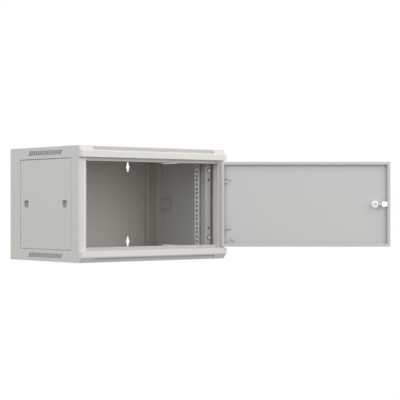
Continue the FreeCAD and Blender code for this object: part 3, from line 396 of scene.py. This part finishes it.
body_coat = powder_coat("body_powder_coat", PAINT)
cover_coat = powder_coat("cover_powder_coat", COVER_PAINT)
side_coat = powder_coat("side_powder_coat", SIDE_PAINT)
lit_frame_coat = powder_coat("lit_frame_powder_coat", LIT_FRAME_PAINT)
shade_painted_coat = powder_coat("shade_painted_powder_coat", SHADED_PAINT, grain=0.05, roughness=0.55)
for node in BODY_SHEETS:
    coat, fold = body_coat, FOLD_RADIUS
    # Front posts take the lighter coat as painted light, headers the darker one as painted shade.
    if "front_post" in node:
        coat, fold = lit_frame_coat, POST_RADIUS
    elif "front_header" in node:
        coat = shade_painted_coat
    elif "side_frame" in node:
        coat = side_coat
    elif node in ("roof_panel", "floor_panel"):
        coat = cover_coat
    sheet_from(node, node + "_sheet", "cabinet", coat, radius=fold)

# ---------------------------------------------------------------- front beams
# One folded cover beam above and one below the opening, closed at its ends, spot-welded to the posts.
# Each has a long recess pressed into its sloping outer side, whose back faces take the darker coat as
# painted shade.
BEAM_RADIUS = 0.0016
RECESS_LEVEL = 0.1705
RECESS_HALF = 0.256
FACING_FRONT = 0.9

# The covers take the front frame's lighter coat, painted light; the recess faces take the darker one,
# painted shade.
for height in ("upper", "lower"):
    node = height + "_front_beam"
    cover = sheet_from(node, node + "_cover", "cabinet", lit_frame_coat, radius=BEAM_RADIUS)
    cover.data.materials.append(shade_painted_coat)
    for face in cover.data.polygons:
        middle = face.center
        inside = abs(middle.z) > RECESS_LEVEL and abs(middle.x) < RECESS_HALF
        if inside and abs(face.normal.y) > FACING_FRONT:
            face.material_index = 1

# ---------------------------------------------------------------- rack rails and what carries them
# Channels run front to back at top and bottom; angle brackets hang the two rolled 19 inch rails from them.
# The rails take a darker, smoother copy of the body's coat, its darkness painted shade inside the cabinet;
# the channels and brackets take the darker coat of painted shade.
# The rails' darker colour is painted shade, for the shade inside the cabinet.
SHADED_RAIL_PAINT = (0.485, 0.475, 0.455, 1.0)
RAIL_RADIUS = 0.0016

shaded_rail_coat = powder_coat("shaded_rail_powder_coat", SHADED_RAIL_PAINT, grain=0.03, roughness=0.42)
for side in ("left", "right"):
    sheet_from(side + "_rack_rail", side + "_rack_rail_rolled", "cabinet", shaded_rail_coat,
               radius=RAIL_RADIUS)
    for height in ("upper", "lower"):
        node = "%s_%s_depth_rail" % (height, side)
        sheet_from(node, node + "_channel", "cabinet", shade_painted_coat)
        node = "%s_%s_rail_bracket" % (height, side)
        sheet_from(node, node + "_angle", "cabinet", shade_painted_coat)

# ---------------------------------------------------------------- screws, studs and earth nuts
# M6 hexagon screws hold the rails, and welded M6 studs with nuts take the earth leads.
# All are zinc-plated steel, a little uneven where the plating is thicker, with a whitish bloom.
ZINC = (0.88, 0.88, 0.87, 1.0)
PLATING_SHADE = 0.93
PLATING_SPREAD = 0.06
PLATING_GRAIN = 0.05
PLATING_DEPTH = 0.0002


def plated(name, colour, roughness, scale, bare=1.0):
    """Plated steel: metal whose tone and gloss wander in soft patches, with a very fine grain.
    Below 1, bare lets the whitish bloom of passivated zinc through."""
    metal, tree, shader = start_finish(name)
    shader.inputs["Metallic"].default_value = bare
    cloud = patches(tree, scale, detail=4.0)
    vary_tone(tree, shader, cloud, shade_of(colour, PLATING_SHADE), colour)
    vary_gloss(tree, shader, cloud, roughness, PLATING_SPREAD)
    raise_grain(tree, shader, cloud, PLATING_GRAIN, PLATING_DEPTH)
    return metal


def finish_node(node, material):
    """A CAD piece keeps its shape and gets its finish."""
    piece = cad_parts[node]
    piece.data.materials.clear()
    piece.data.materials.append(material)


zinc = plated("bright_zinc", ZINC, roughness=0.46, scale=160.0, bare=0.35)
for node in ("rail_screws", "bracket_bolts", "earth_stud", "earth_nut"):
    finish_node(node, zinc)

# ---------------------------------------------------------------- cup washers
# Each rack rail screw stands in a black nylon cup washer, which spares the coat under its head.
# The washer is a moulded ring that lies on the flange round the hexagon.
BLACK_NYLON = (0.035, 0.035, 0.037, 1.0)
WASHER_INSIDE = 0.0059
WASHER_OUTSIDE = 0.0074
WASHER_THICKNESS = 0.0012
WASHER_EDGE = 0.0003
WASHER_GAP = 0.0001
HEAD_HEIGHT = 0.004
HEAD_HALF_WIDTH = 0.00577
HEAD_HALF_FLATS = 0.005
RING_CORNER = math.radians(60)
RING_CREASE = math.radians(40)
MOULD_SCALE = 1400.0
MOULD_SHADE = 0.96
MOULD_GRAIN = 0.06
MOULD_DEPTH = 0.0003


def moulded(name, colour, roughness):
    """Moulded plastic: even colour with a faint spark-eroded grain."""
    plastic, tree, shader = start_finish(name)
    shader.inputs["Roughness"].default_value = roughness
    grain = patches(tree, MOULD_SCALE, detail=2.0)
    vary_tone(tree, shader, grain, shade_of(colour, MOULD_SHADE), colour)
    raise_grain(tree, shader, grain, MOULD_GRAIN, MOULD_DEPTH)
    return plastic


def flat_ring(name, place, turn, inside, outside, thickness, soft, steps=32):
    """A flat ring: its inner edge is spread outwards, thickened, and its corners are eased."""
    bpy.ops.object.select_all(action="DESELECT")
    bpy.ops.mesh.primitive_circle_add(vertices=steps, radius=inside, location=place, rotation=turn)
    ring = bpy.context.object
    ring.name = name
    bpy.ops.object.transform_apply(location=True, rotation=True, scale=True)
    bpy.ops.object.mode_set(mode="EDIT")
    bpy.ops.mesh.select_all(action="SELECT")
    bpy.ops.mesh.extrude_edges_move()
    grow = outside / inside
    bpy.ops.transform.resize(value=(grow, grow, grow), center_override=place)
    bpy.ops.mesh.select_all(action="SELECT")
    bpy.ops.mesh.normals_make_consistent(inside=False)
    bpy.ops.object.mode_set(mode="OBJECT")
    wall = ring.modifiers.new("wall", "SOLIDIFY")
    wall.thickness = thickness
    wall.offset = 0.0
    bpy.ops.object.modifier_apply(modifier="wall")
    ease = ring.modifiers.new("ease", "BEVEL")
    ease.limit_method = "ANGLE"
    ease.angle_limit = RING_CORNER
    ease.width = soft
    ease.segments = 2
    bpy.ops.object.modifier_apply(modifier="ease")
    bpy.ops.object.shade_smooth_by_angle(angle=RING_CREASE)
    return ring


black_nylon = moulded("black_nylon", BLACK_NYLON, roughness=0.45)
screw_low, screw_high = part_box("rail_screws")
seat = screw_low[1] + HEAD_HEIGHT - WASHER_THICKNESS / 2 - WASHER_GAP
for side, x in (("left", screw_low[0] + HEAD_HALF_WIDTH), ("right", screw_high[0] - HEAD_HALF_WIDTH)):
    for height, z in (("lower", screw_low[2] + HEAD_HALF_FLATS), ("upper", screw_high[2] - HEAD_HALF_FLATS)):
        washer = flat_ring("%s_%s_cup_washer" % (height, side), (x, seat, z), (math.pi / 2, 0, 0),
                           WASHER_INSIDE, WASHER_OUTSIDE, WASHER_THICKNESS, WASHER_EDGE)
        washer.data.materials.append(black_nylon)
        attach(washer, "cabinet")

# ---------------------------------------------------------------- side panels
# A shallow tray fills each side opening and lifts off; a pressed bead runs down near its front edge.
# It has the side frame's coat, and two windows for the finger latches.
for side in ("left", "right"):
    node = side + "_side_panel"
    sheet_from(node, node + "_tray", node + "_body", side_coat)

# ---------------------------------------------------------------- latches
# Moulded grey nylon cup with a sprung slide; pulling its tab towards the panel's middle frees the bolt.
# Housing and slide are moulded in the same nylon, and their corners are only just softened.
NYLON = (0.54, 0.53, 0.51, 1.0)
LATCH_RADIUS = 0.0006
LATCH_EDGE = 0.0003

nylon = moulded("latch_nylon", NYLON, roughness=0.5)
for side in ("left", "right"):
    for end in ("front", "rear"):
        node = "%s_%s_latch_housing" % (side, end)
        sheet_from(node, node + "_moulding", side + "_side_panel_body", nylon,
                   radius=LATCH_RADIUS, cut=LATCH_EDGE)
        node = "%s_%s_latch_slide" % (side, end)
        sheet_from(node, node + "_moulding", node + "_body", nylon,
                   radius=LATCH_RADIUS, cut=LATCH_EDGE)

# ---------------------------------------------------------------- door
# Steel tray with returns on four sides and a lip folded back in, coated as the body is.
# Two small brackets spot-welded inside guide the sprung hinge pins; a stud and nut take the earth lead.
DOOR_PAINT = (0.585, 0.578, 0.566, 1.0)
DULL_ZINC = (0.56, 0.56, 0.55, 1.0)
DOOR_RADIUS = 0.0012
GUIDE_RADIUS = 0.0006
GUIDE_EDGE = 0.0002

door_coat = powder_coat("door_powder_coat", DOOR_PAINT)
dull_zinc = plated("dull_zinc", DULL_ZINC, roughness=0.52, scale=120.0)
sheet_from("door_shell", "door_tray", "door", door_coat, radius=DOOR_RADIUS)
for height in ("upper", "lower"):
    node = height + "_hinge_guide"
    sheet_from(node, node + "_bracket", "door", dull_zinc, radius=GUIDE_RADIUS, cut=GUIDE_EDGE)
    finish_node(height + "_hinge_pin", dull_zinc)
for node in ("door_earth_stud", "door_earth_nut"):
    finish_node(node, dull_zinc)

# ---------------------------------------------------------------- hinge springs
# A fine coil spring stands on each guide and pushes the hinge pin out into the beam.
# It bears on a small steel grip ring pressed onto the pin; in the real hinge it shortens when the handle is
# drawn, here it is one fixed coil that rides with the door.
PIN_X = 0.283
PIN_Y = -0.415
SPRING_FOOT = 0.0871
SPRING_HEAD = 0.1105
SPRING_TURNS = 9
TURN_STEPS = 18
COIL_RADIUS = 0.00237
WIRE_RADIUS = 0.0003
WIRE_SIDES = 8
GRIP_INSIDE = 0.00203
GRIP_OUTSIDE = 0.0027
GRIP_THICKNESS = 0.0008
GRIP_EDGE = 0.0001

for height, up in (("upper", 1), ("lower", -1)):
    bpy.ops.object.select_all(action="DESELECT")
    bpy.ops.mesh.primitive_circle_add(vertices=WIRE_SIDES, radius=WIRE_RADIUS,
                                      rotation=(math.pi / 2, 0, 0))
    spring = bpy.context.object
    spring.name = height + "_hinge_spring"
    bpy.ops.object.transform_apply(location=True, rotation=True, scale=True)
    bpy.ops.object.mode_set(mode="EDIT")
    bpy.ops.mesh.select_all(action="SELECT")
    bpy.ops.transform.translate(value=(COIL_RADIUS, 0, WIRE_RADIUS))
    bpy.ops.object.mode_set(mode="OBJECT")
    coil = spring.modifiers.new("coil", "SCREW")
    coil.axis = "Z"
    coil.angle = math.tau
    coil.iterations = SPRING_TURNS
    coil.screw_offset = (SPRING_HEAD - SPRING_FOOT - 2 * WIRE_RADIUS) / SPRING_TURNS
    coil.steps = TURN_STEPS
    coil.render_steps = TURN_STEPS
    coil.use_smooth_shade = True
    bpy.ops.object.modifier_apply(modifier="coil")
    bpy.ops.object.mode_set(mode="EDIT")
    bpy.ops.mesh.select_all(action="SELECT")
    bpy.ops.mesh.fill_holes(sides=WIRE_SIDES)
    if up < 0:
        bpy.ops.transform.resize(value=(1, 1, -1), center_override=(0, 0, 0))
    bpy.ops.transform.translate(value=(PIN_X, PIN_Y, up * SPRING_FOOT))
    bpy.ops.mesh.select_all(action="SELECT")
    bpy.ops.mesh.normals_make_consistent(inside=False)
    bpy.ops.object.mode_set(mode="OBJECT")
    spring.data.materials.append(dull_zinc)
    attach(spring, "door")
    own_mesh(spring)
    grip = flat_ring(height + "_pin_grip_ring", (PIN_X, PIN_Y, up * (SPRING_HEAD + GRIP_THICKNESS / 2)),
                     (0, 0, 0), GRIP_INSIDE, GRIP_OUTSIDE, GRIP_THICKNESS, GRIP_EDGE, steps=24)
    grip.data.materials.append(dull_zinc)
    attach(grip, height + "_hinge_pin_body")

# ---------------------------------------------------------------- cam lock
# Nickel-plated zinc barrel held by a thin hexagon nut; the plug's square end turns a pressed steel cam,
# held on by a duller zinc-plated screw. The cam's neck takes the duller zinc as painted shade, where the nut
# shades it.
NICKEL = (0.90, 0.89, 0.87, 1.0)
CAM_RADIUS = 0.0006
CAM_EDGE = 0.0003
CAM_AXIS = (0.67212, -0.75755)
CAM_LINE = (0.7695, -0.6387)
SHADED_NECK_START = 0.0085
SHADED_NECK_END = 0.0238

nickel = plated("bright_nickel", NICKEL, roughness=0.26, scale=220.0)
for node in ("lock_barrel", "lock_nut", "lock_plug"):
    finish_node(node, nickel)
finish_node("lock_cam_screw", dull_zinc)
cam = sheet_from("lock_cam", "lock_cam_pressed", "lock", nickel,
                 radius=CAM_RADIUS, cut=CAM_EDGE)
pick(cam)
bpy.ops.object.mode_set(mode="EDIT")
for reach in (SHADED_NECK_START, SHADED_NECK_END):
    bpy.ops.mesh.select_all(action="SELECT")
    bpy.ops.mesh.bisect(plane_co=(CAM_AXIS[0] + reach * CAM_LINE[0], CAM_AXIS[1] + reach * CAM_LINE[1], 0),
                        plane_no=CAM_LINE + (0,))
bpy.ops.object.mode_set(mode="OBJECT")
# Faces of the neck between the two reaches take the duller zinc: painted shade beside the nut.
cam.data.materials.append(dull_zinc)
for face in cam.data.polygons:
    reach = sum((face.center[i] - CAM_AXIS[i]) * CAM_LINE[i] for i in (0, 1))
    face.material_index = 1 if SHADED_NECK_START < reach < SHADED_NECK_END else 0
